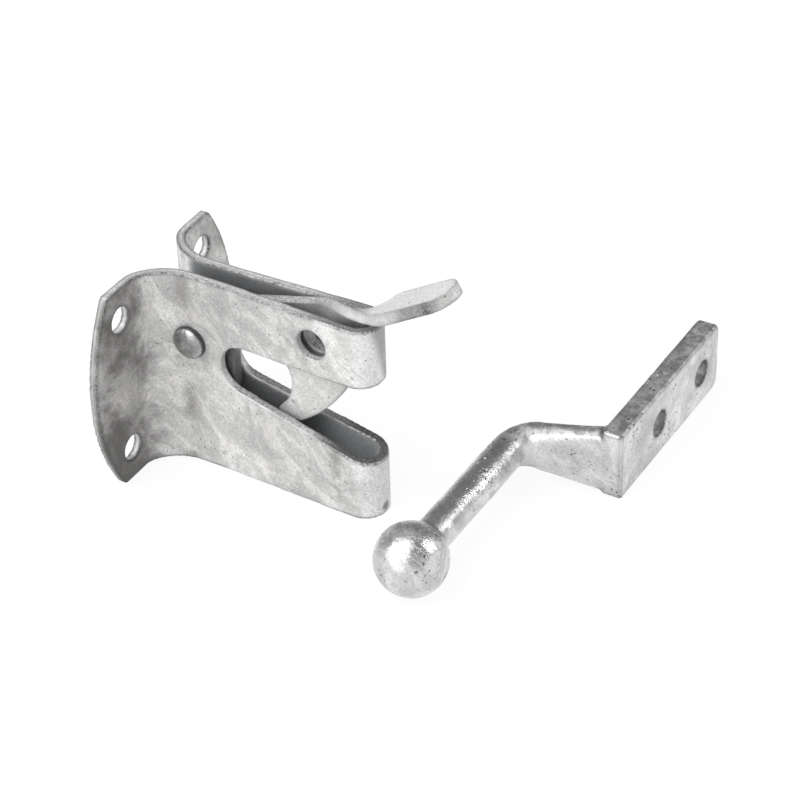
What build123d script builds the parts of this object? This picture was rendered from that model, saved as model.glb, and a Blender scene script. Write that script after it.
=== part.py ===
from build123d import *
import math
import os

# Lockable gate latch: a folded sheet-steel housing with a riveted gravity lever, and the forged striker
# that the lever catches. X runs out from the post, Y across it and Z up. The origin is on the post's face,
# in the middle of the four fixing holes. Millimetres and degrees.

# Housing, one strip of sheet folded round at the nose and swept outwards at the post
sheet = 3.0
body_height = 70.0
nose_reach = 81.3
nose_radius = 7.6
waist_half_width = 5.9
waist_end = 27.0
waist_ease = 60.0
flange_root_radius = 7.5
plate_sweep_radius = 15.0
plate_sweep = 52.0
sweep_straight = 0.4
flange_corner = 27.2
flange_middle = 37.3
corner_round = 2.0

# Fixing holes, the same in the housing and the striker
fixing_diameter = 8.4
fixing_spacing_y = 44.0
fixing_spacing_z = 48.0

# Mouth between the jaws
mouth_top = 14.1
throat_x = 35.5
throat_radius = 8.5
mouth_fall = 13.6

# Pivot rivet and padlock hole
pivot_x = 16.2
pivot_z = 10.7
rivet_radius = 3.5
rivet_head_radius = 5.5
rivet_head_height = 3.0
rivet_head_rim = 1.4
pivot_clearance = 0.08
padlock_x = 60.9
padlock_z = 24.9
padlock_diameter = 10.0

# Lever plate
lever_thickness = 4.0
boss_radius = 13.3
notch_x = 39.5
notch_z = 4.5
notch_radius = 10.3
leg_bottom = -8.5
leg_width = 9.0
toe = (44.2, -7.0)
toe_bottom = (46.6, -9.6)
hook_bottom = (52.4, -9.4)
ramp_middle = (64.0, 0.9)
ramp_top = (71.0, 12.0)
padlock_wall = 11.1
shoulder = (padlock_x + padlock_wall, 27.0)
ramp_round = 4.0
toe_round = 1.0

# Thumb tab, twisted a quarter turn out of the plate where it passes over the nose
tab_rise = 31.0
tab_line = (77.5, 37.06)
tab_half_width = 7.0
tab_end = 34.2
twist_start = -16.0
twist_end = 10.0

# Places along the tab's middle line, with the strip's reach to its near edge and to its far edge
neck_reaches = (
    (twist_start, 9.1, 6.0),
    (-12.0, 8.6, 5.6),
    (-8.0, 8.0, 5.0),
    (-5.0, 7.2, 3.6),
    (-2.5, 6.6, 2.0),
    (0.0, 6.3, 0.3),
    (2.0, 6.4, 2.4),
    (4.5, 6.6, 6.0),
    (7.0, 6.8, 6.9),
    (twist_end, tab_half_width, tab_half_width),
)

# Striker
rod_diameter = 12.0
ball_diameter = 23.5
rod_x = 106.4
rod_length = 66.4
elbow_y = 38.2
elbow_radius = 8.5
elbow_steps = 6
elbow_height = 17.5
elbow_breadth = 11.0
root_height = 23.5
root_round = 3.6
bar_thickness = 7.8
bar_height = 25.0
bar_face_x = 141.9
bar_length = 69.6
bar_corner = 3.0
bar_edge = 1.0
bar_hole_inset = 26.8
bar_hole_spacing = 30.0

# Worked-out places
quarter_turn = math.radians(90)
half_height = body_height / 2
nose_centre = nose_reach - nose_radius
floor_z = -half_height
rod_z = floor_z + ball_diameter / 2
bar_z = floor_z + bar_height / 2
bar_back_x = bar_face_x - bar_thickness
bar_near_y = elbow_y
bar_far_y = bar_near_y + bar_length
bar_hole_y = bar_near_y + bar_hole_inset
ball_y = elbow_y - rod_length

# The outward sweep of each plate: a long radius off the plate, then a short one into the flange
flange_turn = 90 - plate_sweep
sweep_run = sweep_straight
sweep_run += flange_root_radius * math.tan(math.radians(flange_turn / 2))
sweep_run += plate_sweep_radius * math.tan(math.radians(plate_sweep / 2))
sweep_x = sheet + sweep_run * math.cos(math.radians(plate_sweep))
sweep_y = waist_half_width + sweep_run * math.sin(math.radians(plate_sweep))

# The straight side of the nose leaves the end of the waist and touches the nose circle
waist_to_nose = nose_centre - waist_end
side_angle = math.atan2(waist_half_width, waist_to_nose)
side_angle -= math.asin(nose_radius / math.hypot(waist_to_nose, waist_half_width))
nose_touch_x = nose_centre + nose_radius * math.sin(side_angle)
nose_touch_y = nose_radius * math.cos(side_angle)

# Housing
with BuildPart() as latch_housing:
    with BuildSketch(Plane.XY.offset(-half_height)):
        with BuildLine():
            FilletPolyline(
                (sheet, -flange_middle),
                (sheet, -sweep_y),
                (sweep_x, -waist_half_width),
                (waist_end, -waist_half_width),
                (nose_touch_x, -nose_touch_y),
                radius=[flange_root_radius, plate_sweep_radius, waist_ease],
            )
            mirror(about=Plane.XZ)
            ThreePointArc(
                (nose_touch_x, -nose_touch_y),
                (nose_reach, 0),
                (nose_touch_x, nose_touch_y),
            )
            offset(amount=sheet, side=Side.LEFT)
        make_face()
    extrude(amount=body_height)

    # Bowed free edges of the two flanges
    with BuildSketch(Plane.YZ) as flange_outline:
        with BuildLine():
            Line((-flange_corner, half_height), (flange_corner, half_height))
            ThreePointArc(
                (flange_corner, half_height),
                (flange_middle, 0),
                (flange_corner, -half_height),
            )
            Line((flange_corner, -half_height), (-flange_corner, -half_height))
            ThreePointArc(
                (-flange_corner, -half_height),
                (-flange_middle, 0),
                (-flange_corner, half_height),
            )
        make_face()
        fillet(flange_outline.vertices(), corner_round)
    extrude(amount=nose_reach, mode=Mode.INTERSECT)

    # Mouth, with a round throat and a lower jaw that falls away towards the nose
    with BuildSketch(Plane.XZ):
        fall = math.radians(mouth_fall)
        throat_z = mouth_top - throat_radius
        throat_bottom_x = throat_x - throat_radius * math.sin(fall)
        throat_bottom_z = throat_z - throat_radius * math.cos(fall)
        mouth_end = nose_reach + sheet
        mouth_low = throat_bottom_z - math.tan(fall) * (mouth_end - throat_bottom_x)
        with BuildLine():
            Line((mouth_end, mouth_top), (throat_x, mouth_top))
            ThreePointArc(
                (throat_x, mouth_top),
                (throat_x - throat_radius, throat_z),
                (throat_bottom_x, throat_bottom_z),
            )
            Line((throat_bottom_x, throat_bottom_z), (mouth_end, mouth_low))
            Line((mouth_end, mouth_low), (mouth_end, mouth_top))
        make_face()
    extrude(amount=nose_reach, both=True, mode=Mode.SUBTRACT)

    # Fixing holes, rivet hole and padlock hole
    with BuildSketch(Plane.YZ):
        with GridLocations(fixing_spacing_y, fixing_spacing_z, 2, 2):
            Circle(fixing_diameter / 2)
    extrude(amount=sheet, mode=Mode.SUBTRACT)
    with BuildSketch(Plane.XZ):
        with Locations((pivot_x, pivot_z)):
            Circle(rivet_radius)
        with Locations((padlock_x, padlock_z)):
            Circle(padlock_diameter / 2)
    extrude(amount=nose_reach, both=True, mode=Mode.SUBTRACT)

# Rivet, with a pan head formed down on each plate
with BuildPart() as pivot_rivet:
    with BuildSketch(Plane.XY.offset(pivot_z)):
        crown = waist_half_width + rivet_head_height
        shoulder_y = crown - rivet_head_rim
        crown_x = pivot_x + rivet_head_radius - rivet_head_rim
        shank_x = pivot_x + rivet_radius
        rim_x = pivot_x + rivet_head_radius
        with BuildLine():
            Polyline(
                (pivot_x, crown),
                (crown_x, crown),
                (rim_x, shoulder_y),
                (rim_x, waist_half_width),
                (shank_x, waist_half_width),
                (shank_x, -waist_half_width),
                (rim_x, -waist_half_width),
                (rim_x, -shoulder_y),
                (crown_x, -crown),
                (pivot_x, -crown),
                close=True,
            )
        make_face()
    revolve(axis=Axis((pivot_x, 0, pivot_z), (0, 1, 0)))
    add(latch_housing.part, mode=Mode.SUBTRACT)

# The neck and the tab run along one line that rises from the lever plate
rise = math.radians(tab_rise)
along = Vector(math.cos(rise), 0, math.sin(rise))
across = Vector(-math.sin(rise), 0, math.cos(rise))
line_middle = Vector(tab_line[0], 0, tab_line[1])
neck_root = line_middle + along * twist_start
neck_upper = neck_root + across * neck_reaches[0][1]
neck_lower = neck_root - across * neck_reaches[0][2]


def neck_plane(place):
    """Section plane at one place along the twist, turning from the plate's plane to the tab's."""
    share = (place - twist_start) / (twist_end - twist_start)
    turn = quarter_turn * share * share * (3 - 2 * share)
    width_way = across * math.cos(turn) - Vector(0, 1, 0) * math.sin(turn)
    return Plane(origin=line_middle + along * place, x_dir=width_way, z_dir=along)


# Lever
with BuildPart() as latch_lever:
    with BuildSketch(Plane.XZ) as lever_plate:
        to_neck = Vector(neck_upper.X - pivot_x, neck_upper.Z - pivot_z)
        top_slope = math.atan2(to_neck.Y, to_neck.X) - math.asin(boss_radius / to_neck.length)
        boss_top_x = pivot_x - boss_radius * math.sin(top_slope)
        boss_top_z = pivot_z + boss_radius * math.cos(top_slope)
        leg_x = notch_x - notch_radius
        leg_end = leg_bottom + leg_width / 2
        with BuildLine():
            Polyline(
                (pivot_x, pivot_z),
                (boss_top_x, boss_top_z),
                (neck_upper.X, neck_upper.Z),
                (neck_lower.X, neck_lower.Z),
                shoulder,
                ramp_top,
            )
            ThreePointArc(ramp_top, ramp_middle, hook_bottom)
            Polyline(hook_bottom, toe_bottom, toe)
            TangentArc((notch_x + notch_radius, notch_z), toe, tangent=(0, -1))
            ThreePointArc(
                (notch_x + notch_radius, notch_z),
                (notch_x, notch_z + notch_radius),
                (leg_x, notch_z),
            )
            Line((leg_x, notch_z), (leg_x, leg_end))
            ThreePointArc((leg_x, leg_end), (leg_x - leg_width / 2, leg_bottom), (leg_x - leg_width, leg_end))
            Line((leg_x - leg_width, leg_end), (pivot_x, pivot_z))
        make_face()
        fillet(lever_plate.vertices().sort_by_distance(shoulder)[0], toe_round)
        fillet(lever_plate.vertices().sort_by_distance(ramp_top)[0], ramp_round)
        fillet(lever_plate.vertices().sort_by_distance(toe)[0], toe_round)
        fillet(lever_plate.vertices().sort_by_distance(toe_bottom)[0], toe_round)
        with Locations((pivot_x, pivot_z)):
            Circle(boss_radius)
            Circle(rivet_radius + pivot_clearance, mode=Mode.SUBTRACT)
    extrude(amount=lever_thickness / 2, both=True)

    # Twisted neck
    for place, near, far in neck_reaches:
        with BuildSketch(neck_plane(place)):
            with Locations(((near - far) / 2, 0)):
                Rectangle(near + far, lever_thickness)
    loft(ruled=True)

    # Flat thumb tab with a round end
    with BuildSketch(Plane(origin=line_middle, x_dir=along, z_dir=across)):
        round_start = tab_end - tab_half_width
        with BuildLine():
            Polyline(
                (round_start, tab_half_width),
                (twist_end, tab_half_width),
                (twist_end, -tab_half_width),
                (round_start, -tab_half_width),
            )
            ThreePointArc(
                (round_start, tab_half_width),
                (tab_end, 0),
                (round_start, -tab_half_width),
            )
        make_face()
    extrude(amount=lever_thickness / 2, both=True)

    # Padlock hole
    with BuildSketch(Plane.XZ):
        with Locations((padlock_x, padlock_z)):
            Circle(padlock_diameter / 2)
    extrude(amount=nose_radius, both=True, mode=Mode.SUBTRACT)

# Striker, forged from one bar
with BuildPart() as striker:
    # Flat bar on edge, with its two fixing holes
    with BuildSketch(Plane.YZ.offset(bar_back_x)) as bar_outline:
        with Locations(((bar_near_y + bar_far_y) / 2, bar_z)):
            Rectangle(bar_far_y - bar_near_y, bar_height)
        fillet(bar_outline.vertices().group_by(Axis.X)[-1], bar_corner)
    extrude(amount=bar_thickness)
    chamfer(striker.edges(), bar_edge)
    with BuildSketch(Plane.YZ.offset(bar_back_x)):
        with Locations((bar_hole_y, bar_z), (bar_hole_y + bar_hole_spacing, bar_z)):
            Circle(fixing_diameter / 2)
    extrude(amount=bar_thickness, mode=Mode.SUBTRACT)

    # Elbow, spread from the round rod to a tall section
    for step in range(elbow_steps + 1):
        share = step / elbow_steps
        bend = quarter_turn * share
        bend_place = Vector(
            rod_x + elbow_radius * (1 - math.cos(bend)),
            elbow_y - elbow_radius * (1 - math.sin(bend)),
            rod_z,
        )
        bend_way = Vector(math.sin(bend), math.cos(bend), 0)
        height = rod_diameter + (elbow_height - rod_diameter) * share
        breadth = rod_diameter + (elbow_breadth - rod_diameter) * share
        with BuildSketch(Plane(origin=bend_place, x_dir=(0, 0, 1), z_dir=bend_way)):
            Ellipse(height / 2, breadth / 2)
    loft(ruled=True)

    # Neck, drawn out from the elbow to the flat bar
    with BuildSketch(Plane(origin=(rod_x + elbow_radius, elbow_y, rod_z), x_dir=(0, 0, 1), z_dir=(1, 0, 0))):
        Ellipse(elbow_height / 2, elbow_breadth / 2)
    root_place = (bar_back_x + bar_edge, bar_near_y + bar_thickness / 2, floor_z + root_height / 2)
    with BuildSketch(Plane(origin=root_place, x_dir=(0, 0, 1), z_dir=(1, 0, 0))):
        RectangleRounded(root_height, bar_thickness, root_round)
    loft()

    # Rod with a ball on its end
    with BuildSketch(Plane(origin=(rod_x, ball_y, rod_z), z_dir=(0, 1, 0))):
        Circle(rod_diameter / 2)
    extrude(amount=elbow_y - elbow_radius - ball_y)
    with Locations((rod_x, ball_y, rod_z)):
        Sphere(ball_diameter / 2)

latch_housing.part.label = "latch_housing"
pivot_rivet.part.label = "pivot_rivet"
latch_lever.part.label = "latch_lever"
striker.part.label = "striker"

os.makedirs("parts", exist_ok=True)
export_step(latch_housing.part, "parts/latch_housing.step")
export_step(pivot_rivet.part, "parts/pivot_rivet.step")
export_step(latch_lever.part, "parts/latch_lever.step")
export_step(striker.part, "parts/striker.step")
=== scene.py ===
# %% [markdown]
# # A galvanised gate latch and its striker
# The real set is four pieces of steel: a housing folded from one strip, a lever with a twisted
# thumb tab, the rivet the lever turns on, and a forged striker that lies beside them. All of it
# is dipped in molten zinc, so what the eye reads is the coat: pale, cloudy, pitted, with soft
# edges where the zinc ran. The solids come from model.glb, and these cells dress them.

import math

import bmesh
import bpy
from mathutils import Matrix, Vector


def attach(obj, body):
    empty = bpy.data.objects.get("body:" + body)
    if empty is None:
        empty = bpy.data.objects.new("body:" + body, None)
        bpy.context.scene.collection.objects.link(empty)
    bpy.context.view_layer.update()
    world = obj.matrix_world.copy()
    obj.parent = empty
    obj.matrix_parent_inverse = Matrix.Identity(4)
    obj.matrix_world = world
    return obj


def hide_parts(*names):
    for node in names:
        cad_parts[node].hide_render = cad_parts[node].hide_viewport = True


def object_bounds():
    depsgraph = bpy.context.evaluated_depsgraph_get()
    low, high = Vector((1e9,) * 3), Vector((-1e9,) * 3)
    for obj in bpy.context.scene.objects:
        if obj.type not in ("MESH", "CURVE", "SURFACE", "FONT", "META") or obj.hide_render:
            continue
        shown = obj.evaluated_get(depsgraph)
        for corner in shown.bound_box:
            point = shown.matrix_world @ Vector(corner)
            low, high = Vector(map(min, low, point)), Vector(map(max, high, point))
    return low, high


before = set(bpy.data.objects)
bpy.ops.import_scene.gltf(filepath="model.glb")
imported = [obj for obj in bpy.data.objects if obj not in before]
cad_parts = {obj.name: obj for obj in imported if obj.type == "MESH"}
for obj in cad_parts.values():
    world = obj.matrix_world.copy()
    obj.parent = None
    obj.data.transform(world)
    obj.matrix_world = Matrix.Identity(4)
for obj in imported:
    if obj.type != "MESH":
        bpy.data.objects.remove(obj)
cad_box = [list(corner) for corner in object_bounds()]
MM = 0.001
print("CAD box in mm:", [[round(v / MM, 1) for v in corner] for corner in cad_box])

# %% [markdown]
# ## The camera
# The photograph looks down on the set from its right-hand front corner. The eye point, the
# turn, the fall and the small roll below were worked out from the corners of the housing and
# its fixing holes, so that the drawn edges fall on the photographed ones. A lens this long
# flattens the view, as a product photographer's would.

# %% Set the camera
EYE_MM = Vector((434.64, -568.98, 503.01))
TURN, FALL, ROLL = math.radians(31.429), math.radians(36.5), math.radians(-1.762)
SENSOR_MM = 36.0
LENS_PER_SENSOR = 3.5

right = Vector((math.cos(TURN), math.sin(TURN), 0))
back = Vector((math.sin(TURN) * math.cos(FALL), -math.cos(TURN) * math.cos(FALL), math.sin(FALL)))
up = back.cross(right)
camera_x = right * math.cos(ROLL) + up * math.sin(ROLL)
camera_y = up * math.cos(ROLL) - right * math.sin(ROLL)

camera_data = bpy.data.cameras.new("photo_camera")
camera_data.sensor_width = SENSOR_MM
camera_data.lens = SENSOR_MM * LENS_PER_SENSOR
camera = bpy.data.objects.new("photo_camera", camera_data)
bpy.context.scene.collection.objects.link(camera)
turned = Matrix((camera_x, camera_y, back)).transposed().to_4x4()
camera.matrix_world = Matrix.Translation(EYE_MM * MM) @ turned
bpy.context.scene.camera = camera
print("lens", round(camera_data.lens, 1), "mm, eye", [round(v) for v in EYE_MM])

# %% [markdown]
# ## Node helpers
# A node tree in code is easier to read when a node is made in one line, with its plain values,
# and joined to what feeds it. `put` does that for any tree: a value that is a socket is linked,
# and anything else is written on the socket. `add_sockets` does the same for the inputs and
# outputs of a node group.

# %% Nodes in one line
def put(tree, kind, settings=None, **inputs):
    """Adds a node, sets its properties, and fills or links its inputs by name, or by order as i0, i1."""
    node = tree.nodes.new(kind)
    for name, value in (settings or {}).items():
        setattr(node, name, value)
    for name, value in inputs.items():
        key = int(name[1:]) if name[0] == "i" and name[1:].isdigit() else name.replace("_", " ")
        if isinstance(value, bpy.types.NodeSocket):
            tree.links.new(value, node.inputs[key])
        else:
            node.inputs[key].default_value = value
    return node


def add_sockets(tree, way, kind, **values):
    """Adds named sockets of one kind to a node group, with their first values."""
    for name, value in values.items():
        socket = tree.interface.new_socket(
            name.replace("_", " "), in_out=way, socket_type="NodeSocket" + kind,
        )
        if value is not None:
            socket.default_value = value


def parts_of(tree, vector, letters):
    """The parts of a vector that are asked for, such as XZ."""
    parts = put(tree, "ShaderNodeSeparateXYZ", Vector=vector).outputs
    return [parts[letter] for letter in letters]


# %% [markdown]
# Most of a finish is masks from 0 to 1 that are multiplied, compared and mixed. Short names for
# the nodes that do it keep the finishes further down readable.

# %% Sums, steps and mixes
def maths(tree, operation, first, second=0.0, third=0.0, clamp=False):
    """One Math node, by its sockets' order."""
    settings = {"operation": operation, "use_clamp": clamp}
    return put(tree, "ShaderNodeMath", settings, i0=first, i1=second, i2=third).outputs[0]


def vectors(tree, operation, first, **others):
    """One Vector Math node: its vector, or its value where the operation gives one."""
    node = put(tree, "ShaderNodeVectorMath", {"operation": operation}, i0=first, **others)
    return node.outputs["Value" if operation in ("DISTANCE", "DOT_PRODUCT") else "Vector"]


def times(tree, first, *others):
    """The product of several masks."""
    for other in others:
        first = maths(tree, "MULTIPLY", first, other)
    return first


def most(tree, first, *others):
    """The strongest of several masks."""
    for other in others:
        first = maths(tree, "MAXIMUM", first, other)
    return first


def less(tree, first, second):
    """One mask taken away from another."""
    return maths(tree, "SUBTRACT", first, second, clamp=True)


def ramp(tree, value, low, high, to_low=0.0, to_high=1.0):
    """A smooth step of a value from low..high to to_low..to_high."""
    settings = {"interpolation_type": "SMOOTHSTEP"}
    return put(
        tree, "ShaderNodeMapRange", settings, Value=value,
        From_Min=low, From_Max=high, To_Min=to_low, To_Max=to_high,
    ).outputs["Result"]


def blend(tree, factor, first, second):
    """A Mix node for colours; its colour sockets are found by their order."""
    return put(
        tree, "ShaderNodeMix", {"data_type": "RGBA"}, i0=factor, i6=first, i7=second,
    ).outputs[2]


def grey(level, warm=0.0):
    """A grey of a given linear level; warm above 0 leans to brown, below 0 to blue."""
    return (level * (1 + warm), level, level * (1 - warm), 1.0)


# %% [markdown]
# ## The zinc coat as a shared node group
# Hot-dip zinc has several things at once: broad clouds where the coat froze slower or faster,
# paler patches with torn borders, a fine grain, dark specks, pits that come in swarms, and thin
# scratches from handling. Every piece has them, in different amounts, so they are one node
# group. It puts out masks only, and each material mixes its own colours from them.
#
# Patches and scratches are the same kind of noise, drawn out along one slanted line: a little
# for the patches, and far for the scratches.

# %% Patches and scratches
WANDER_SCALE, WANDER_PUSH = 25.0, 20.0 * MM
SLANT = math.radians(-52)
PATCH_STRETCH, SCRATCH_STRETCH = (55.0, 100.0, 130.0), (45.0, 200.0, 900.0)
PATCH_RANGE, LINE_RANGE, BREAK_RANGE = (0.47, 0.57), (0.62, 0.7), (0.5, 0.6)


def noise(tree, where, scale, **others):
    """The outputs of one noise texture."""
    return put(tree, "ShaderNodeTexNoise", Vector=where, Scale=scale, **others).outputs


def wander(tree, where):
    """The place, pushed about by a slow noise, so that what is drawn by it has wandering edges."""
    drift = noise(tree, where, WANDER_SCALE, Detail=2.0)["Color"]
    return vectors(tree, "ADD", where, i1=vectors(tree, "SCALE", drift, Scale=WANDER_PUSH))


def torn_noise(tree, slanted):
    """The noise behind the patches."""
    drawn = vectors(tree, "MULTIPLY", slanted, i1=PATCH_STRETCH)
    return noise(tree, drawn, 1.0, Detail=9.0, Roughness=0.7, Distortion=0.9)["Fac"]


def scratch_lines(tree, slanted, torn):
    """Thin lines, broken by the patches."""
    drawn = vectors(tree, "MULTIPLY", slanted, i1=SCRATCH_STRETCH)
    lines = noise(tree, drawn, 1.0, Detail=2.0)["Fac"]
    return times(tree, ramp(tree, lines, *LINE_RANGE), ramp(tree, torn, *BREAK_RANGE))


# %% [markdown]
# Specks and pits are cells of a Voronoi texture. A speck is one small dot in some of the cells,
# larger or smaller by the cell's own chance. The pits' cells have shaken borders, so that no
# pit is round, and are kept only where a slow noise lets them swarm.

# %% Specks and pits
SPECK_SCALE, SPECK_SPREAD, SPECK_LEAST = 760.0, 0.9, -0.6
SHAKE_SCALE, SHAKE_PUSH, SWARM_SCALE = 900.0, 1.2 * MM, 110.0
SPECK_RANGE, PIT_RANGE = (-0.05, 0.12), (-0.06, 0.08)
SWARM_RANGE, PIT_REACH = (0.0, 0.22), 0.3


def speck_dots(tree, where):
    dots = put(tree, "ShaderNodeTexVoronoi", Vector=where, Scale=SPECK_SCALE).outputs
    chance = put(tree, "ShaderNodeSeparateColor", Color=dots["Color"]).outputs["Red"]
    size = maths(tree, "MULTIPLY_ADD", chance, SPECK_SPREAD, SPECK_LEAST)
    return ramp(tree, maths(tree, "SUBTRACT", size, dots["Distance"]), *SPECK_RANGE)


def pit_swarms(tree, where, bent, pit_scale, swarm_from):
    shake = noise(tree, where, SHAKE_SCALE, Detail=2.0)["Color"]
    ragged = vectors(tree, "ADD", bent, i1=vectors(tree, "SCALE", shake, Scale=SHAKE_PUSH))
    cells = put(tree, "ShaderNodeTexVoronoi", Vector=ragged, Scale=pit_scale).outputs["Distance"]
    swarm = maths(tree, "SUBTRACT", noise(tree, where, SWARM_SCALE, Detail=3.0)["Fac"], swarm_from)
    reach = ramp(tree, swarm, *SWARM_RANGE, 0.0, PIT_REACH)
    return ramp(tree, maths(tree, "SUBTRACT", reach, cells), *PIT_RANGE)


# %% [markdown]
# The group joins these masks and adds a height for the relief. In it pits and specks go down,
# and grain, patches and clouds stand up, each by its own share.

# %% The zinc group
CLOUD_RANGE = (0.33, 0.68)
HOLLOW_SHARE, RAISED_SHARES = -0.8, (0.5, 0.25, 1.3)
MASKS = ("Cloud", "Patch", "Grain", "Specks", "Pits", "Scratches", "Height")


def zinc_group():
    """Masks of a hot-dip coat from 0 to 1, and a height for the relief."""
    tree = bpy.data.node_groups.new("zinc_masks", "ShaderNodeTree")
    add_sockets(
        tree, "INPUT", "Float", Cloud_Scale=60.0, Grain_Scale=1400.0, Pit_Scale=260.0, Swarm_From=0.5,
    )
    add_sockets(tree, "INPUT", "Vector", Vector=None)
    add_sockets(tree, "OUTPUT", "Float", **dict.fromkeys(MASKS))
    start = tree.nodes.new("NodeGroupInput").outputs
    end = tree.nodes.new("NodeGroupOutput").inputs
    where = start["Vector"]

    bent = wander(tree, where)
    slanted = put(tree, "ShaderNodeMapping", Vector=bent, Rotation=(0.0, SLANT, 0.0)).outputs[0]
    torn = torn_noise(tree, slanted)
    cloud = noise(tree, bent, start["Cloud Scale"], Detail=7.0, Roughness=0.62)["Fac"]
    patch = ramp(tree, torn, *PATCH_RANGE)
    grain = noise(tree, where, start["Grain Scale"], Detail=3.0, Roughness=0.65)["Fac"]
    specks = speck_dots(tree, where)
    pits = pit_swarms(tree, where, bent, start["Pit Scale"], start["Swarm From"])
    scratches = scratch_lines(tree, slanted, torn)

    height = maths(tree, "MULTIPLY", most(tree, pits, specks), HOLLOW_SHARE)
    for part, share in zip((grain, patch, cloud), RAISED_SHARES):
        height = maths(tree, "MULTIPLY_ADD", part, share, height)
    clouds = ramp(tree, cloud, *CLOUD_RANGE)
    for name, mask in zip(MASKS, (clouds, patch, grain, specks, pits, scratches, height)):
        tree.links.new(mask, end[name])
    return tree


ZINC = zinc_group()
print("zinc group:", len(ZINC.nodes), "nodes")

# %% [markdown]
# ## The finishes
# Each finish starts from the same masks. Between them they differ in how pale and how cloudy
# the zinc is, how sharp its shine is, and how dark the worn or grainy edges are. The edge mask
# is an attribute that the meshes carry, made further down from the bend between faces.
# `shades` are functions that change the colour in places, `matt` says where the shine is lost,
# and `wear` how much of the edge mask shows.

# %% Zinc finish
PATCH_SHARE, SPECK_SHARE, MATT_SHARE = 0.4, 0.6, 0.4
GRIT, FINE = (0.4, 0.6), (0.36, 0.64)
SCRATCH_GREY, PIT_GREY = 0.45, 0.08
DULL_ROUGHER, PALE_SMOOTHER, GRAIN_ROUGHER = 0.08, 0.05, 0.12
RELIEF_DEPTH = 0.4 * MM


def mesh_mask(tree, name):
    """A mask that the mesh carries."""
    return put(tree, "ShaderNodeAttribute", {"attribute_name": name}).outputs["Fac"]


def zinc_finish(
    name, pale, dull, rough, metal, pits, edge, cloud, bump, warm=0.01, scratches=0.25, grain=0.18,
    pit_scale=260.0, swarm=0.5, shades=(), matt=None, wear=None,
):
    """A zinc material: pale and dull are its two greys, edge is the grey of its worn edges."""
    material = bpy.data.materials.new(name)
    material.use_nodes = True
    tree = material.node_tree
    shader = tree.nodes["Principled BSDF"]
    where = put(tree, "ShaderNodeTexCoord").outputs["Object"]
    zinc = put(
        tree, "ShaderNodeGroup", {"node_tree": ZINC}, Vector=where, Cloud_Scale=cloud,
        Pit_Scale=pit_scale, Swarm_From=swarm,
    ).outputs

    torn = times(tree, zinc["Patch"], PATCH_SHARE)
    light = maths(tree, "MULTIPLY_ADD", zinc["Cloud"], 1 - PATCH_SHARE, torn)
    colour = blend(tree, light, grey(dull, warm), grey(pale, warm))
    for shade in shades:
        colour = shade(tree, where, zinc, colour)
    fine = ramp(tree, zinc["Grain"], *FINE, 1 - grain, 1 + grain / 3)
    colour = vectors(tree, "SCALE", colour, Scale=fine)
    worn = times(tree, mesh_mask(tree, "edge"), ramp(tree, zinc["Grain"], *GRIT, 0.3, 1.0))
    if wear is not None:
        worn = times(tree, worn, wear(tree, where))
    dark = most(tree, times(tree, zinc["Specks"], SPECK_SHARE), times(tree, zinc["Pits"], pits))
    colour = blend(tree, worn, colour, grey(edge, warm))
    colour = blend(tree, times(tree, zinc["Scratches"], scratches), colour, grey(dull * SCRATCH_GREY, warm))
    colour = blend(tree, dark, colour, grey(PIT_GREY, warm))
    tree.links.new(colour, shader.inputs["Base Color"])

    shine = ramp(tree, light, 0.0, 1.0, rough + DULL_ROUGHER, rough - PALE_SMOOTHER)
    shine = maths(tree, "MULTIPLY_ADD", zinc["Grain"], GRAIN_ROUGHER, shine)
    if matt is not None:
        shine = maths(tree, "MULTIPLY_ADD", matt(tree, where, zinc), MATT_SHARE, shine)
    tree.links.new(shine, shader.inputs["Roughness"])
    shader.inputs["Metallic"].default_value = metal
    relief = put(tree, "ShaderNodeBump", Strength=bump, Distance=RELIEF_DEPTH, Height=zinc["Height"])
    tree.links.new(relief.outputs["Normal"], shader.inputs["Normal"])
    return material


# %% [markdown]
# ## Shades of the housing
# The housing isn't one grey all over. The front of the near flange dried duller and browner
# than the plates, with a blotched border. Brown-grey smears lie where the strip was bent:
# before the sweep to the flange, and where the nose begins. Each shade takes the colour so far
# and gives it back changed, by a mask that follows the place on the piece.

# %% Flange and bends
FLANGE, FLANGE_RAGGED = (10.0 * MM, 3.2 * MM), 5.0 * MM
NEAR_SIDE, FRONT_SIDE = (1.0 * MM, -1.0 * MM), (0.8 * MM, 2.0 * MM)
SMEARS = ((14.5 * MM, 4.0 * MM), (68.0 * MM, 3.5 * MM))


def dull_flange(tree, where, zinc, colour):
    """Brown-grey zinc on the front of the near flange, and less of it on its back and the far one."""
    x, y = parts_of(tree, where, "XY")
    near = ramp(tree, maths(tree, "MULTIPLY_ADD", zinc["Cloud"], FLANGE_RAGGED, x), *FLANGE)
    front = times(tree, ramp(tree, y, *NEAR_SIDE), ramp(tree, x, *FRONT_SIDE))
    near = times(tree, near, ramp(tree, front, 0.0, 1.0, 0.3, 1.0))
    blotched = blend(tree, zinc["Cloud"], grey(0.12, 0.03), grey(0.26, 0.03))
    return blend(tree, near, colour, blotched)


def bend_smears(tree, where, zinc, colour):
    """Smears across the two bends, only where the zinc is dull."""
    x = parts_of(tree, where, "X")[0]
    marks = []
    for middle, half in SMEARS:
        off = maths(tree, "ABSOLUTE", maths(tree, "SUBTRACT", x, middle))
        marks.append(ramp(tree, off, half, 0.0))
    smears = times(tree, maths(tree, "ADD", *marks), ramp(tree, zinc["Cloud"], 0.75, 0.2, 0.0, 0.75))
    return blend(tree, smears, colour, grey(0.27, 0.03))
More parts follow.
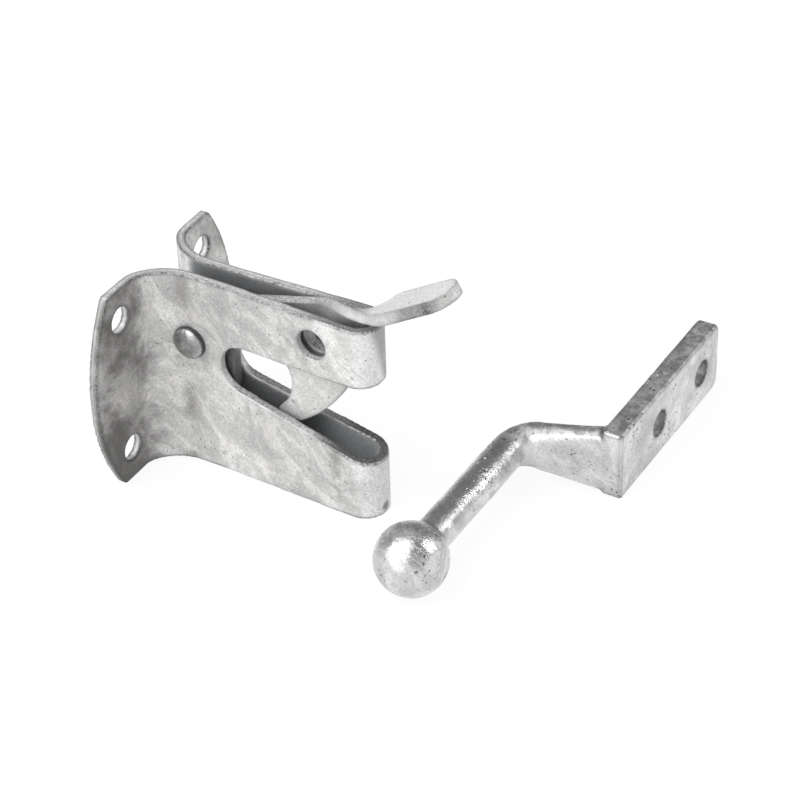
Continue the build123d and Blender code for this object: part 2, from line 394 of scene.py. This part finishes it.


# %% [markdown]
# The skin of the nose is painted paler than the plates from a ragged line on: partly its paler
# zinc, partly painted light that stands in for a lamp. On its upper loop, the far side is
# painted greyer as shade beyond a line that leans, and low on the lower loop sits one dark scab.

# %% Nose
NOSE, NOSE_RAGGED = (74.0 * MM, 79.0 * MM), 2.0 * MM
FAR_LEAN, FAR_TOP = 0.27, 31.0 * MM
FAR_SIDE, UPPER_LOOP = (-5.0 * MM, -1.6 * MM), (12.0 * MM, 15.0 * MM)
SCAB, SCAB_RAGGED = Vector((81.0, -0.6, -32.2)) * MM, 1.2 * MM
SCAB_SIZE = (3.0 * MM, 1.4 * MM)


# Painted light on the nose's skin, partly its paler zinc.
def paler_nose_and_painted_light(tree, where, zinc, colour):
    x = parts_of(tree, where, "X")[0]
    ragged = maths(tree, "MULTIPLY_ADD", zinc["Cloud"], NOSE_RAGGED, x)
    return blend(tree, ramp(tree, ragged, *NOSE, 0.0, 0.55), colour, grey(0.8))


# Painted shade on the far side of the nose's upper loop.
def painted_shade_far_side(tree, where, zinc, colour):
    x, y, z = parts_of(tree, where, "XYZ")
    leaning = maths(tree, "MULTIPLY_ADD", maths(tree, "SUBTRACT", z, FAR_TOP), FAR_LEAN, y)
    side = times(
        tree, ramp(tree, leaning, *FAR_SIDE, 0.0, 0.85), ramp(tree, x, *NOSE),
        ramp(tree, z, *UPPER_LOOP), ramp(tree, zinc["Grain"], 0.35, 0.65, 0.6, 1.0),
    )
    return blend(tree, side, colour, grey(0.24))


def nose_scab(tree, where, zinc, colour):
    off = vectors(tree, "DISTANCE", where, i1=SCAB)
    off = maths(tree, "MULTIPLY_ADD", zinc["Cloud"], SCAB_RAGGED, off)
    scab = times(tree, ramp(tree, off, *SCAB_SIZE), ramp(tree, zinc["Grain"], *GRIT, 0.5, 1.0))
    return blend(tree, scab, colour, grey(0.06))


# %% [markdown]
# The sheared edges are pale and gritty along the top, darker in the mouth, and darkest round
# the lower ring of the nose and on the far lower jaw. The faces between the plates are painted
# dark grey as shade, darkest deep inside, and the walls of the fixing holes and the padlock
# hole are painted bright, as lit. Both shades use masks that the mesh carries.

# %% Edges and inside
LOWER_HALF, FAR_JAW = (16.0 * MM, 12.0 * MM), (-1.0 * MM, 2.0 * MM)
RING = (50.0 * MM, 70.0 * MM)
PLATES, DEEP = (8.0 * MM, 14.0 * MM), (45.0 * MM, 68.0 * MM)
PADLOCK_AXIS = Vector((60.9, 0.0, 24.9)) * MM
RIM_RING, WALL_RING = (9.0 * MM, 7.5 * MM), (6.0 * MM, 5.4 * MM)


def facing_up(tree, low=0.6, high=0.85):
    """Faces that look up or down."""
    return ramp(tree, mesh_mask(tree, "level"), low, high)


def round_padlock(tree, where, ring):
    """What lies round the axis of the padlock hole: its rims in a wide ring, its walls in a close one."""
    flat = vectors(tree, "MULTIPLY", where, i1=(1.0, 0.0, 1.0))
    return ramp(tree, vectors(tree, "DISTANCE", flat, i1=PADLOCK_AXIS), *ring)


def sheared_edge(tree, where, zinc, colour):
    x, y, z = parts_of(tree, where, "XYZ")
    low = ramp(tree, z, *LOWER_HALF)
    at_nose = ramp(tree, x, *RING)
    far_low = times(tree, low, ramp(tree, y, *FAR_JAW))
    dim = most(
        tree, times(tree, at_nose, 0.6), times(tree, far_low, 0.7), times(tree, at_nose, low),
        times(tree, low, 0.4),
    )
    bare = blend(tree, dim, grey(0.78), grey(0.17))
    speck = blend(tree, dim, grey(0.5), grey(0.09))
    gritty = blend(tree, ramp(tree, zinc["Grain"], *GRIT), speck, bare)
    return blend(tree, facing_up(tree), colour, gritty)


# Painted shade on the faces between the plates, and painted light on the walls of the holes.
def inside_painted_shade_and_light(tree, where, zinc, colour):
    x = parts_of(tree, where, "X")[0]
    between = less(tree, ramp(tree, x, *PLATES), round_padlock(tree, where, WALL_RING))
    depth = blend(tree, ramp(tree, x, *DEEP), grey(0.2, -0.03), grey(0.37, -0.03))
    wall = blend(tree, between, grey(0.85), depth)
    return blend(tree, mesh_mask(tree, "shut_in"), colour, wall)


# %% [markdown]
# The housing's edges are worn dark, but hardly round the mouth and the padlock hole, which
# were cut clean.

# %% Wear of the housing
MOUTH_BACK, MOUTH_FRONT = (24.0 * MM, 28.0 * MM), (66.0 * MM, 56.0 * MM)
MOUTH_TOP = (20.0 * MM, 16.0 * MM)
CLEAN_WEAR = 0.25


def cut_wear(tree, where):
    """How much of its wear each edge of the housing shows."""
    x, z = parts_of(tree, where, "XZ")
    mouth = times(tree, ramp(tree, x, *MOUTH_BACK), ramp(tree, x, *MOUTH_FRONT), ramp(tree, z, *MOUTH_TOP))
    clean = most(tree, mouth, round_padlock(tree, where, RIM_RING))
    return ramp(tree, clean, 0.0, 1.0, 1.0, CLEAN_WEAR)


# %% [markdown]
# ## Shades of the lever
# The lever is pale where it shows, and where it stays between the plates its faces are painted
# dark as shade. Its top edge is gritty, where the shears left it rough.

# %% Lever between the plates
LEG = (33.0 * MM, 29.5 * MM)
TAB_START, TAB_LOW = (60.0 * MM, 70.0 * MM), (31.0 * MM, 34.0 * MM)
SIDE_LOW = (14.0 * MM, 18.0 * MM)


def on_tab(tree, x, z):
    """The thumb tab and its neck, above the plates."""
    return times(tree, ramp(tree, x, *TAB_START), ramp(tree, z, *TAB_LOW))


def gritty_edge_and_painted_shade(tree, where, zinc, colour):
    """The lever's gritty top edge, and painted shade on its side between the plates."""
    x, z = parts_of(tree, where, "XZ")
    level = facing_up(tree)
    off_tab = less(tree, 1.0, on_tab(tree, x, z))
    gritty = blend(tree, ramp(tree, zinc["Grain"], *GRIT), grey(0.34), grey(0.62))
    colour = blend(tree, times(tree, level, off_tab), colour, gritty)
    side = times(tree, less(tree, 1.0, level), off_tab, ramp(tree, z, *SIDE_LOW, 0.0, 0.8))
    side = less(tree, side, round_padlock(tree, where, WALL_RING))
    return blend(tree, side, colour, grey(0.19))


def painted_shade_leg(tree, where, zinc, colour):
    """Painted shade on the leg behind the throat, between the plates."""
    x = parts_of(tree, where, "X")[0]
    return blend(tree, ramp(tree, x, *LEG), colour, grey(0.12, -0.03))


# %% [markdown]
# The thumb tab's top is painted paler, as lit from above, and its neck and upright edge are
# painted greyer as shade; that edge also has dark grainy patches before the tip.

# %% Thumb tab
TAB_PALE, TAB_DARK = (74.0 * MM, 82.0 * MM), (88.0 * MM, 94.0 * MM)
TAB_NECK, TAB_BEFORE = TAB_PALE[::-1], TAB_DARK[::-1]
TAB_TIP = (105.5 * MM, 102.0 * MM)


# Painted light on the tab's top, painted shade on its neck and upright edge, and dark grainy patches on
# that edge.
def tab_painted_light_shade_and_patches(tree, where, zinc, colour):
    x, z = parts_of(tree, where, "XZ")
    level = facing_up(tree)
    tab = on_tab(tree, x, z)
    upright = times(tree, less(tree, 1.0, level), tab)
    colour = blend(tree, times(tree, level, ramp(tree, x, *TAB_PALE)), colour, grey(0.74))
    neck = times(tree, tab, ramp(tree, x, *TAB_NECK, 0.0, 0.75))
    edge = times(tree, upright, ramp(tree, x, *TAB_BEFORE, 0.0, 0.4))
    colour = blend(tree, most(tree, edge, neck), colour, grey(0.36))
    patches = ramp(tree, zinc["Patch"], 0.0, 1.0, 0.55, 1.0)
    dark = times(tree, ramp(tree, x, *TAB_DARK), ramp(tree, x, *TAB_TIP), patches, upright)
    gritty = blend(tree, ramp(tree, zinc["Grain"], *GRIT), grey(0.02), grey(0.1))
    return blend(tree, dark, colour, gritty)


# %% [markdown]
# ## Shades of the rivet and the striker
# The rims of the rivet's heads are painted dark as shade, and their crowns stay bright. The
# striker is bright zinc, apart from the tops of its neck and bar, which are matt, painted greyer
# as shade, and have small dark clusters.

# %% Rivet's painted shade and striker's matt, shaded tops
RIM = (7.9 * MM, 7.2 * MM)
MATT_SHADE_SIDE, MATT_SHADE_LEVEL = (28.0 * MM, 33.0 * MM), (0.5, 0.7)
CLUSTER_SCALE = 330.0


# Painted shade on the rims of the rivet's heads.
def painted_shade_rim(tree, where, zinc, colour):
    y = parts_of(tree, where, "Y")[0]
    return blend(tree, ramp(tree, maths(tree, "ABSOLUTE", y), *RIM), colour, grey(0.1))


def matt_shaded_top(tree, where):
    """Where the tops are matt and painted greyer as shade."""
    y = parts_of(tree, where, "Y")[0]
    return times(tree, facing_up(tree, *MATT_SHADE_LEVEL), ramp(tree, y, *MATT_SHADE_SIDE))


def matt_top(tree, where, zinc):
    """How matt the tops are."""
    return times(tree, matt_shaded_top(tree, where), ramp(tree, zinc["Patch"], 0.0, 1.0, 0.7, 1.0))


def painted_shade_top_and_clusters(tree, where, zinc, colour):
    """Painted shade: the tops' grey, and their dark clusters."""
    top_mask = matt_shaded_top(tree, where)
    colour = blend(tree, times(tree, top_mask, 0.6), colour, grey(0.58))
    fine = noise(tree, where, CLUSTER_SCALE, Detail=5.0, Roughness=0.7)["Fac"]
    dark = times(tree, top_mask, ramp(tree, fine, 0.58, 0.42, 0.0, 0.7))
    return blend(tree, dark, colour, grey(0.28))


# %% [markdown]
# ## The four finishes
# The zinc on the sheet and the plate froze matt, so it is mixed half as metal and half as a
# dull pale crust. The rivet and the striker are bright metal.

# %% Make the finishes
HOUSING_ZINC = zinc_finish(
    "housing_zinc", pale=0.7, dull=0.38, rough=0.46, metal=0.5, pits=0.35, edge=0.05, cloud=42.0,
    bump=0.24, scratches=0.45, wear=cut_wear,
    shades=(dull_flange, bend_smears, paler_nose_and_painted_light, painted_shade_far_side, nose_scab, sheared_edge, inside_painted_shade_and_light),
)
LEVER_ZINC = zinc_finish(
    "lever_zinc", pale=0.66, dull=0.48, rough=0.5, metal=0.5, pits=0.4, edge=0.16, cloud=50.0,
    bump=0.22, scratches=0.2, shades=(gritty_edge_and_painted_shade, tab_painted_light_shade_and_patches, painted_shade_leg),
)
RIVET_ZINC = zinc_finish(
    "rivet_zinc", pale=0.56, dull=0.26, rough=0.25, metal=0.95, pits=0.5, edge=0.16, cloud=260.0,
    bump=0.4, shades=(painted_shade_rim,),
)
STRIKER_ZINC = zinc_finish(
    "striker_zinc", pale=0.82, dull=0.48, rough=0.22, metal=0.95, pits=0.75, edge=0.06, cloud=75.0,
    bump=0.5, scratches=0.05, warm=-0.005, grain=0.14, pit_scale=560.0, swarm=0.46,
    shades=(painted_shade_top_and_clusters,), matt=matt_top,
)
print("finishes:", [m.name for m in (HOUSING_ZINC, LEVER_ZINC, RIVET_ZINC, STRIKER_ZINC)])

# %% [markdown]
# ## From solid to coated piece
# A CAD mesh has knife edges and long thin triangles. Molten zinc rounds every edge and leaves
# the faces a little uneven, so each solid is copied, welded and remeshed into even small faces,
# and smoothed.

# %% Remeshing
WELD = 0.001 * MM
SOFTNESS = 0.5


def evaluated_mesh(piece):
    """The piece's mesh with its modifiers applied."""
    depsgraph = bpy.context.evaluated_depsgraph_get()
    return bpy.data.meshes.new_from_object(piece.evaluated_get(depsgraph))


def soft_copy(node, name, voxel_mm, rounds):
    """A welded, remeshed and smoothed copy of a CAD node."""
    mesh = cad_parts[node].data.copy()
    solid = bmesh.new()
    solid.from_mesh(mesh)
    bmesh.ops.remove_doubles(solid, verts=solid.verts, dist=WELD)
    solid.to_mesh(mesh)
    solid.free()
    mesh.materials.clear()
    piece = bpy.data.objects.new(name, mesh)
    bpy.context.scene.collection.objects.link(piece)
    remesh = piece.modifiers.new("even_faces", "REMESH")
    remesh.mode = "VOXEL"
    remesh.voxel_size = voxel_mm * MM
    remesh.use_smooth_shade = True
    soften = piece.modifiers.new("round_edges", "SMOOTH")
    soften.factor = SOFTNESS
    soften.iterations = rounds
    piece.data = evaluated_mesh(piece)
    piece.modifiers.clear()
    piece.data.name = name
    print(name, "faces", len(piece.data.polygons))
    return piece


# %% [markdown]
# A geometry-nodes tree then writes three masks on the mesh: `edge`, where neighbouring faces
# bend; `level`, how far a face looks up or down; and a mask of painted shade, where a short ray
# straight out of a face meets the same piece again. The walls of the mouth and the padlock hole,
# which look along the plates, count for about half, and the inside of the nose counts in full.

# %% Masks on the mesh
RAY_START, SHUT_REACH = 0.3 * MM, 14.0 * MM
ACROSS, WALL_SHARE = (0.25, 0.6), 0.45
LOOKING_BACK, LOOP = (-0.3, -0.6), (68.0 * MM, 71.0 * MM)
AT_POST = PLATES[::-1]


def keep_mask(tree, mesh, name, value, rounds):
    """Stores a mask, blurred over the mesh, and puts out the mesh that carries it."""
    soft = put(tree, "GeometryNodeBlurAttribute", {"data_type": "FLOAT"}, Iterations=rounds)
    tree.links.new(value, soft.inputs[0])
    kept = put(
        tree, "GeometryNodeStoreNamedAttribute", {"data_type": "FLOAT", "domain": "POINT"},
        Geometry=mesh, Name=name,
    )
    tree.links.new(soft.outputs[0], kept.inputs["Value"])
    return kept.outputs["Geometry"]


# Painted shade: where a short ray out of a face meets the same piece, that face will be painted dark.
def painted_shade_rays(tree, mesh, place, normal):
    lift = vectors(tree, "SCALE", normal, Scale=RAY_START)
    ray = put(
        tree, "GeometryNodeRaycast", Target_Geometry=mesh, Ray_Direction=normal, Ray_Length=SHUT_REACH,
        Source_Position=vectors(tree, "ADD", place, i1=lift),
    )
    x = parts_of(tree, place, "X")[0]
    outwards, sideways = parts_of(tree, normal, "XY")
    across = ramp(tree, maths(tree, "ABSOLUTE", sideways), *ACROSS)
    counted = most(tree, across, ramp(tree, x, *AT_POST))
    shut = times(tree, ray.outputs["Is Hit"], ramp(tree, counted, 0.0, 1.0, WALL_SHARE, 1.0))
    inner_nose = times(tree, ramp(tree, outwards, *LOOKING_BACK), ramp(tree, x, *LOOP))
    return most(tree, shut, inner_nose)


# %% [markdown]
# The same tree sinks two noises into the surface, small lumps and slow swells. They only go
# inwards, so that a coated piece never outgrows its solid.

# %% The zinc coat tree
def coat_tree():
    tree = bpy.data.node_groups.new("zinc_coat", "GeometryNodeTree")
    add_sockets(tree, "INPUT", "Geometry", Geometry=None)
    add_sockets(
        tree, "INPUT", "Float", Depth=0.1 * MM, Lump_Scale=120.0, Swell=0.0, Swell_Scale=45.0,
        Edge_From=0.08, Edge_To=0.3,
    )
    add_sockets(tree, "INPUT", "Int", Edge_Blur=2)
    add_sockets(tree, "INPUT", "Material", Material=None)
    add_sockets(tree, "OUTPUT", "Geometry", Geometry=None)
    start = tree.nodes.new("NodeGroupInput").outputs
    end = tree.nodes.new("NodeGroupOutput").inputs
    raw = start["Geometry"]
    place = put(tree, "GeometryNodeInputPosition").outputs[0]
    normal = put(tree, "GeometryNodeInputNormal").outputs[0]

    bend = put(tree, "GeometryNodeInputMeshEdgeAngle").outputs["Unsigned Angle"]
    bent = ramp(tree, bend, start["Edge From"], start["Edge To"])
    level = maths(tree, "ABSOLUTE", parts_of(tree, normal, "Z")[0])
    coat = keep_mask(tree, raw, "edge", bent, start["Edge Blur"])
    coat = keep_mask(tree, coat, "level", level, rounds=1)
    coat = keep_mask(tree, coat, "shut_in", painted_shade_rays(tree, raw, place, normal), rounds=2)

    lumps = noise(tree, place, start["Lump Scale"], Detail=4.0, Roughness=0.6)["Fac"]
    swells = noise(tree, place, start["Swell Scale"], Detail=1.0)["Fac"]
    sink = maths(tree, "MULTIPLY_ADD", swells, start["Swell"], times(tree, lumps, start["Depth"]))
    inwards = vectors(tree, "SCALE", normal, Scale=maths(tree, "MULTIPLY", sink, -1.0))
    moved = put(tree, "GeometryNodeSetPosition", Geometry=coat, Offset=inwards).outputs["Geometry"]
    whole = put(tree, "GeometryNodeRealizeInstances", Geometry=moved).outputs["Geometry"]
    dressed = put(tree, "GeometryNodeSetMaterial", Geometry=whole, Material=start["Material"])
    tree.links.new(dressed.outputs["Geometry"], end["Geometry"])
    return tree


COAT = coat_tree()
print("zinc coat:", len(COAT.nodes), "nodes")


def run_tree(piece, tree, **inputs):
    """Runs a geometry-nodes tree on a piece with named inputs, and keeps the result as its mesh."""
    modifier = piece.modifiers.new(tree.name, "NODES")
    modifier.node_group = tree
    for item in tree.interface.items_tree:
        key = item.name.replace(" ", "_").lower()
        if item.in_out == "INPUT" and key in inputs:
            modifier[item.identifier] = inputs[key]
    mesh = evaluated_mesh(piece)
    piece.modifiers.clear()
    piece.data = mesh
    mesh.name = piece.name
    return piece


# %% [markdown]
# ## Housing, lever and striker
# These three are coated copies of their solids. Each rides on the body that its solid belongs
# to and stands in for that solid, so the lever turns on the rivet at every pose. The striker's
# coat is the thickest and the lumpiest.

# %% Coat the three pieces
def coated(node, body, slot, finish, voxel_mm, rounds, **coat):
    """A coated copy of one solid, riding on its body."""
    piece = soft_copy(node, node + "_coated", voxel_mm, rounds)
    run_tree(piece, COAT, material=finish, **coat)
    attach(piece, body)
    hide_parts(node)
    return piece


housing = coated(
    "latch_housing", "latch_body", "galvanised_sheet", HOUSING_ZINC, voxel_mm=0.55, rounds=3,
    depth=0.08 * MM, lump_scale=90.0, edge_blur=1, edge_from=0.06, edge_to=0.22,
)
lever = coated(
    "latch_lever", "lever", "galvanised_plate", LEVER_ZINC, voxel_mm=0.4, rounds=4,
    depth=0.06 * MM, lump_scale=110.0, edge_blur=4,
)
striker = coated(
    "striker", "latch_body", "galvanised_forging", STRIKER_ZINC, voxel_mm=0.46, rounds=4,
    depth=0.22 * MM, lump_scale=210.0, swell=0.3 * MM, swell_scale=75.0, edge_from=0.05, edge_to=0.22,
)

# %% [markdown]
# ## Dross on the striker
# Bits of dross, the crust that floats on a zinc bath, stuck to the striker as it came out. They
# are small round beads that lie in drifts. A second tree scatters them over the coated surface,
# thicker where a slow noise is high, half sunk, and keeps them off the faces that bear on the
# gate and on the floor.

# %% Dross beads
BEAD_SEED = 7
BEADS_PER_M2 = 90000.0
DRIFT_RANGE = (0.5, 0.66)
BEARING_X, BEARING_Z, END_Y = 141.0 * MM, -33.8 * MM, 106.9 * MM


def bead_share(tree, place, drift_scale):
    """How thick the beads lie: in drifts, and none on the bearing faces."""
    x, y, z = parts_of(tree, place, "XYZ")
    drift = noise(tree, place, drift_scale, Detail=2.0)["Fac"]
    return times(
        tree, ramp(tree, drift, *DRIFT_RANGE), maths(tree, "LESS_THAN", x, BEARING_X),
        maths(tree, "GREATER_THAN", z, BEARING_Z), maths(tree, "LESS_THAN", y, END_Y),
    )


def dross_tree():
    tree = bpy.data.node_groups.new("dross_beads", "GeometryNodeTree")
    add_sockets(tree, "INPUT", "Geometry", Geometry=None)
    add_sockets(
        tree, "INPUT", "Float", Least_Gap=1.5 * MM, Smallest=0.2 * MM, Largest=0.42 * MM, Drift_Scale=70.0,
    )
    add_sockets(tree, "INPUT", "Int", Seed=BEAD_SEED)
    add_sockets(tree, "INPUT", "Material", Material=None)
    add_sockets(tree, "OUTPUT", "Geometry", Geometry=None)
    start = tree.nodes.new("NodeGroupInput").outputs
    end = tree.nodes.new("NodeGroupOutput").inputs
    place = put(tree, "GeometryNodeInputPosition").outputs[0]
    spots = put(
        tree, "GeometryNodeDistributePointsOnFaces", {"distribute_method": "POISSON"},
        Mesh=start["Geometry"], Distance_Min=start["Least Gap"], Density_Max=BEADS_PER_M2,
        Density_Factor=bead_share(tree, place, start["Drift Scale"]), Seed=start["Seed"],
    )
    bead = put(tree, "GeometryNodeMeshIcoSphere", Radius=1.0, Subdivisions=3)
    round_bead = put(tree, "GeometryNodeSetShadeSmooth", Geometry=bead.outputs["Mesh"])
    size = put(
        tree, "FunctionNodeRandomValue", {"data_type": "FLOAT"}, i2=start["Smallest"],
        i3=start["Largest"], Seed=start["Seed"],
    )
    beads = put(
        tree, "GeometryNodeInstanceOnPoints", Points=spots.outputs["Points"],
        Instance=round_bead.outputs["Geometry"], Scale=size.outputs[1],
    )
    both = put(tree, "GeometryNodeJoinGeometry", i0=beads.outputs["Instances"])
    tree.links.new(start["Geometry"], both.inputs[0])
    whole = put(tree, "GeometryNodeRealizeInstances", Geometry=both.outputs[0]).outputs["Geometry"]
    dressed = put(tree, "GeometryNodeSetMaterial", Geometry=whole, Material=start["Material"])
    tree.links.new(dressed.outputs["Geometry"], end["Geometry"])
    return tree


bare_faces = len(striker.data.polygons)
run_tree(striker, dross_tree(), material=STRIKER_ZINC, seed=BEAD_SEED)
print("dross faces", len(striker.data.polygons) - bare_faces, "on", bare_faces)

# %% [markdown]
# ## The rivet
# The rivet is small and turned, so it is spun from its half profile instead: shank, a short
# straight rim and a domed crown, the same at both ends. Enough steps round the axis keep its
# outline smooth in a close view.

# %% Rivet
PIVOT = Vector((16.2, 0.0, 10.7)) * MM
SHANK, HEAD, CROWN = 3.5 * MM, 5.5 * MM, 8.9 * MM
PLATE_OUTER, DOME_FROM = 5.9 * MM, 6.8 * MM
DOME_FULLNESS = 0.75
DOME_STEPS, SPIN_STEPS = 14, 64


def rivet_profile():
    """Radius and distance along the axis, from the middle of the shank to the crown."""
    points = [(SHANK, 0.0), (SHANK, PLATE_OUTER), (HEAD, PLATE_OUTER), (HEAD, DOME_FROM)]
    for step in range(1, DOME_STEPS):
        angle = math.radians(90) * step / DOME_STEPS
        radius = HEAD * math.cos(angle) ** DOME_FULLNESS
        points.append((radius, DOME_FROM + (CROWN - DOME_FROM) * math.sin(angle)))
    return points + [(0.0, CROWN)]


def spun_rivet():
    half = rivet_profile()
    whole = [(r, -y) for r, y in reversed(half)] + half[1:]
    shape = bmesh.new()
    line = [shape.verts.new((PIVOT.x + r, y, PIVOT.z)) for r, y in whole]
    edges = [shape.edges.new(pair) for pair in zip(line, line[1:])]
    bmesh.ops.spin(
        shape, geom=line + edges, cent=PIVOT, axis=(0, 1, 0), angle=math.tau, steps=SPIN_STEPS,
    )
    bmesh.ops.remove_doubles(shape, verts=shape.verts, dist=WELD)
    bmesh.ops.recalc_face_normals(shape, faces=shape.faces)
    mesh = bpy.data.meshes.new("pivot_rivet_coated")
    shape.to_mesh(mesh)
    shape.free()
    for polygon in mesh.polygons:
        polygon.use_smooth = True
    piece = bpy.data.objects.new("pivot_rivet_coated", mesh)
    bpy.context.scene.collection.objects.link(piece)
    return piece


rivet = spun_rivet()
run_tree(rivet, COAT, depth=0.0, lump_scale=100.0, edge_from=0.3, edge_to=0.9, material=RIVET_ZINC)
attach(rivet, "latch_body")
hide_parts("pivot_rivet")
print("rivet faces", len(rivet.data.polygons))

# %% [markdown]
# ## Floor
# The set stands on white. The floor is a pale sheet that shows nearly white to the camera and
# in reflections, with a little of the object's shadow left in it.

# %% White floor
FLOOR_Z, FLOOR_REACH = cad_box[0][2], 3.0
FLOOR_GREY, FLOOR_ROUGH, WHITE_SHARE = 0.9, 0.9, 0.9


def white_floor():
    material = bpy.data.materials.new("white_floor")
    material.use_nodes = True
    tree = material.node_tree
    shader = tree.nodes["Principled BSDF"]
    shader.inputs["Base Color"].default_value = grey(FLOOR_GREY)
    shader.inputs["Roughness"].default_value = FLOOR_ROUGH
    path = put(tree, "ShaderNodeLightPath").outputs
    seen = maths(tree, "ADD", path["Is Camera Ray"], path["Is Glossy Ray"])
    seen = maths(tree, "ADD", seen, path["Is Transmission Ray"], clamp=True)
    white = put(tree, "ShaderNodeEmission", Color=grey(1.0), Strength=1.0)
    both = put(
        tree, "ShaderNodeMixShader", i0=times(tree, seen, WHITE_SHARE), i1=shader.outputs[0],
        i2=white.outputs[0],
    )
    tree.links.new(both.outputs[0], tree.nodes["Material Output"].inputs["Surface"])
    return material


corners = [(-1, -1), (1, -1), (1, 1), (-1, 1)]
sheet = bpy.data.meshes.new("floor")
sheet.from_pydata([(FLOOR_REACH * x, FLOOR_REACH * y, FLOOR_Z) for x, y in corners], [], [(0, 1, 2, 3)])
sheet.materials.append(white_floor())
floor = bpy.data.objects.new("floor", sheet)
bpy.context.scene.collection.objects.link(floor)
print("floor at", round(FLOOR_Z / MM, 1), "mm")

# %% [markdown]
# ## Lamps
# Three soft lamps light the set plainly: a large one above on the left, a wide one low in
# front, and a smaller one on the right, which lights the faces that look out from the post, the
# nose and the striker's bar.

# %% Three lamps
AIM_MM = Vector((60, 10, -5))


def soft_lamp(name, place_mm, size_mm, watts):
    lamp = bpy.data.lights.new(name, "AREA")
    lamp.shape = "RECTANGLE"
    lamp.size, lamp.size_y = (side * MM for side in size_mm)
    lamp.energy = watts
    holder = bpy.data.objects.new(name, lamp)
    place = Vector(place_mm) * MM
    aim = AIM_MM * MM - place
    holder.matrix_world = Matrix.Translation(place) @ aim.to_track_quat("-Z", "Y").to_matrix().to_4x4()
    bpy.context.scene.collection.objects.link(holder)
    print(name, "of", watts, "watts")


soft_lamp("top_lamp", place_mm=(-130, -330, 550), size_mm=(520, 520), watts=4.3)
soft_lamp("front_lamp", place_mm=(-150, -750, 260), size_mm=(700, 420), watts=2.0)
soft_lamp("right_lamp", place_mm=(551, 308, 428), size_mm=(230, 230), watts=1.7)

# %% [markdown]
# ## World
# To the camera the room is white. Bright metal shows what stands round it, and in the photograph
# that is dark above and behind: without it, the striker would be white all over. So rays that
# bounce off a shiny face see a dark upper back, and all others a plain pale grey.

# %% White room with a dark upper back
DARK_WAY = Vector((-0.25, 0.6, 0.75)).normalized()
BACK_RANGE, HEIGHT_RANGE = (0.05, 0.55), (0.3, 0.6)
DARK_LEVEL, PLAIN_LEVEL = 0.16, 0.72

world = bpy.data.worlds.new("white_room")
bpy.context.scene.world = world
world.use_nodes = True
sky = world.node_tree
path = put(sky, "ShaderNodeLightPath").outputs
ray = put(sky, "ShaderNodeTexCoord").outputs["Generated"]
behind = ramp(sky, vectors(sky, "DOT_PRODUCT", ray, i1=DARK_WAY), *BACK_RANGE)
above = ramp(sky, parts_of(sky, ray, "Z")[0], *HEIGHT_RANGE)
mirrored = ramp(sky, most(sky, behind, above), 0.0, 1.0, 1.0, DARK_LEVEL)
room = blend(sky, path["Is Glossy Ray"], grey(PLAIN_LEVEL), mirrored)
seen = maths(sky, "ADD", path["Is Camera Ray"], path["Is Transmission Ray"], clamp=True)
backdrop = sky.nodes["Background"]
sky.links.new(blend(sky, seen, room, grey(1.0)), backdrop.inputs["Color"])
backdrop.inputs["Strength"].default_value = 1.0
bpy.context.scene.view_settings.view_transform = "Standard"
